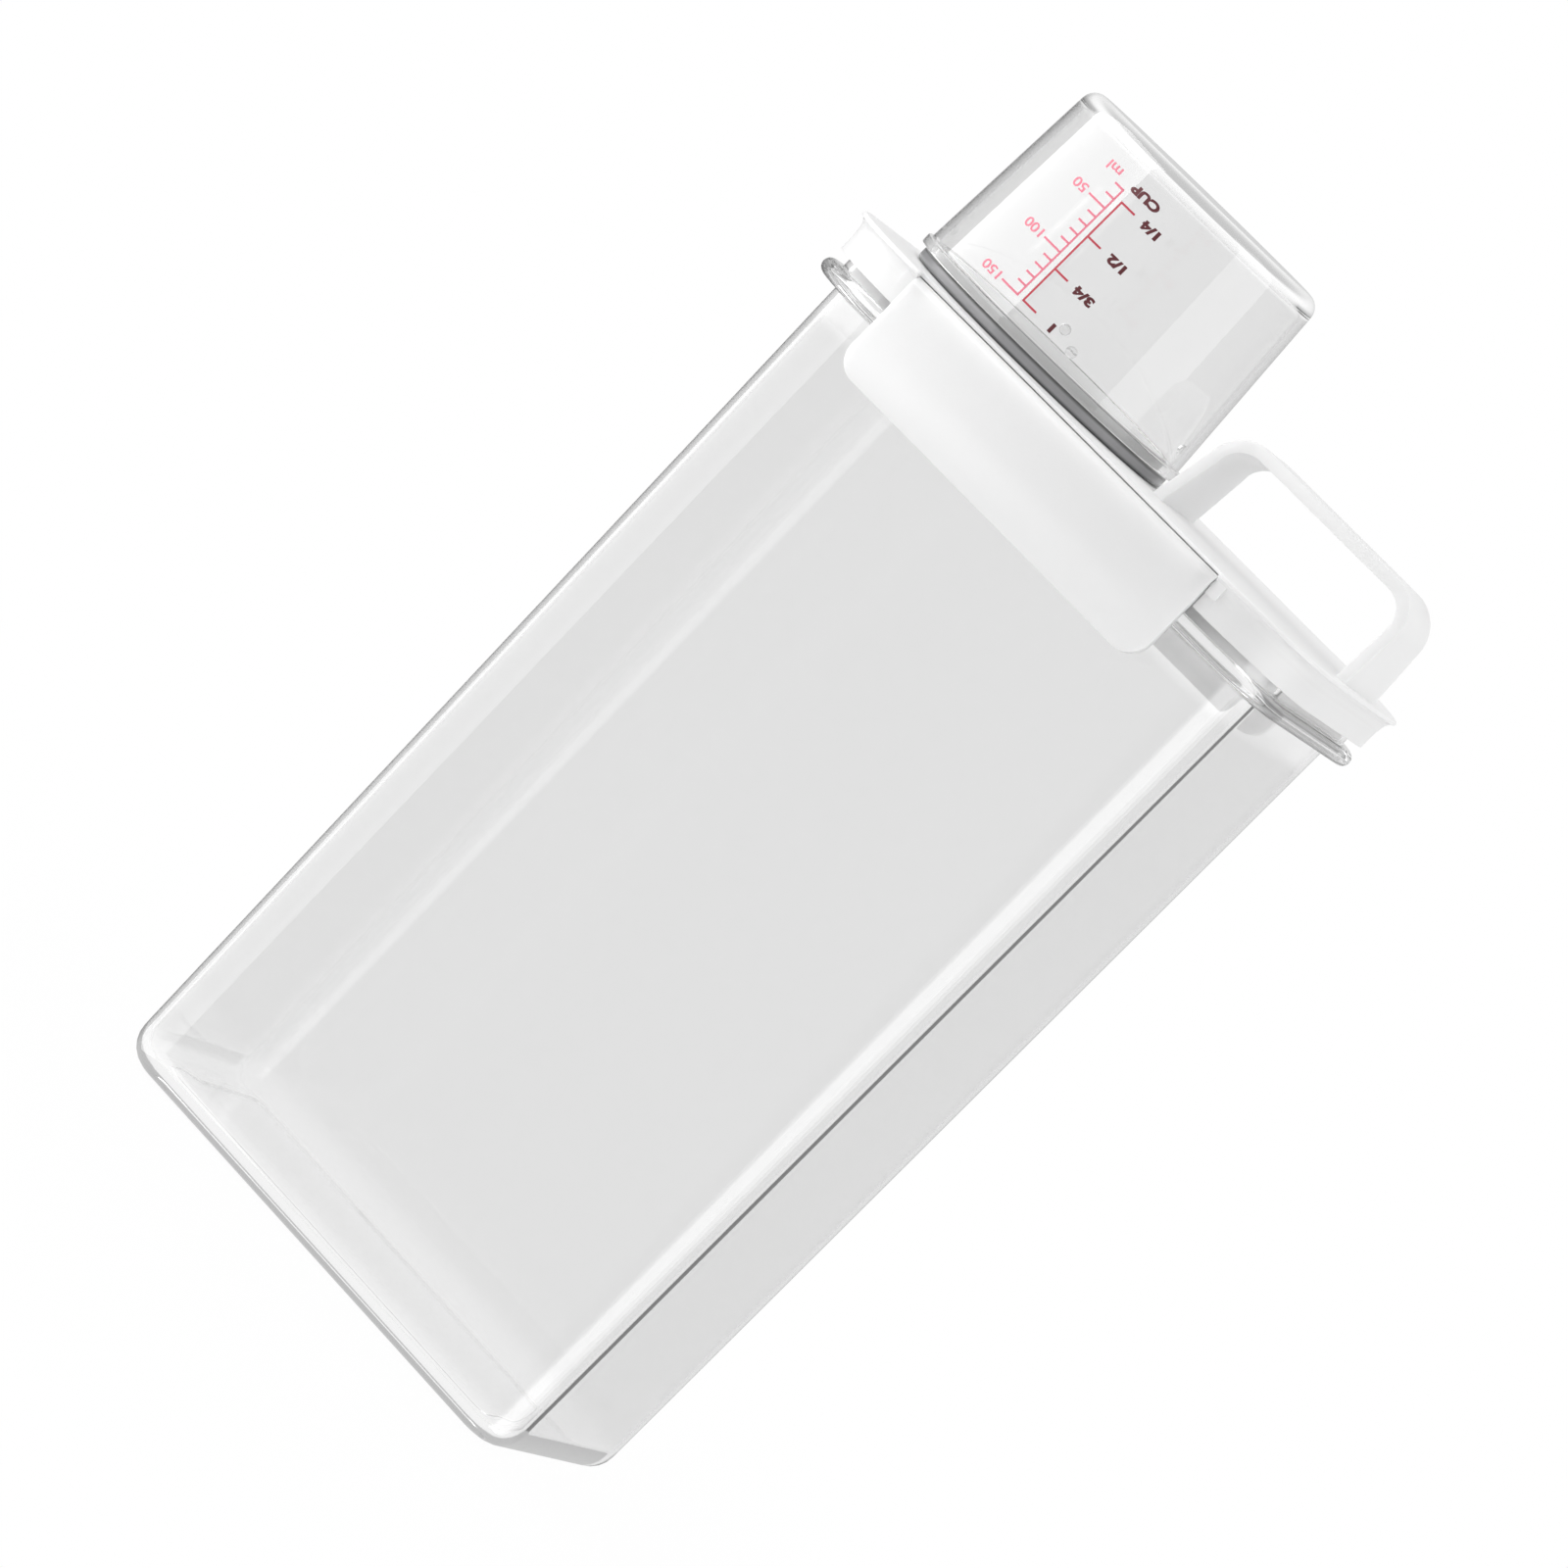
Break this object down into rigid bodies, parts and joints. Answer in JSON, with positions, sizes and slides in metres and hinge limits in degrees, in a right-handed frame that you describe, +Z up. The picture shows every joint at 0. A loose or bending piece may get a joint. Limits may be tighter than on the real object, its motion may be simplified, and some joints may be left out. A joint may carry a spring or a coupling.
{
  "type": "laundry powder container",
  "caption": "Tall clear tapered container with a white latched lid, a strap handle and a clear measuring cup that caps the round pouring spout.",
  "frame": {"origin": "middle of the base, on the plane the container stands on", "axes": "+Z up, +X towards the handle's end, -X towards the cup's end, -Y the front with the front latch"},
  "size_m": [0.153, 0.1038, 0.3015],
  "materials": {
    "clear_body": "clear moulded plastic, glossy, faintly grey",
    "lid_white": "white moulded plastic, satin gloss",
    "gasket_soft": "soft translucent white rubber",
    "seal_grey": "soft translucent grey rubber",
    "latch_white": "white moulded plastic, satin gloss",
    "clear_cup": "clear moulded plastic, glossy, with a red printed scale"
  },
  "bodies": {
    "case": {"container": "clear_body", "lid": "lid_white", "lid_gasket": "gasket_soft", "spout_seal": "seal_grey"},
    "front_latch": {"front_latch": "latch_white"},
    "rear_latch": {"rear_latch": "latch_white"},
    "cup": {"measuring_cup": "clear_cup"}
  },
  "joints": [
    {"name": "front_latch_hinge", "type": "hinge", "parent": "case", "child": "front_latch", "pos_m": [0, -0.0489, 0.24425], "axis": [-1, 0, 0], "range_deg": [0, 105]},
    {"name": "rear_latch_hinge", "type": "hinge", "parent": "case", "child": "rear_latch", "pos_m": [0, 0.0489, 0.24425], "axis": [1, 0, 0], "range_deg": [0, 105]},
    {"name": "cup_lift", "type": "slide", "parent": "case", "child": "cup", "axis": [0, 0, 1], "range_m": [0, 0.075]}
  ]
}
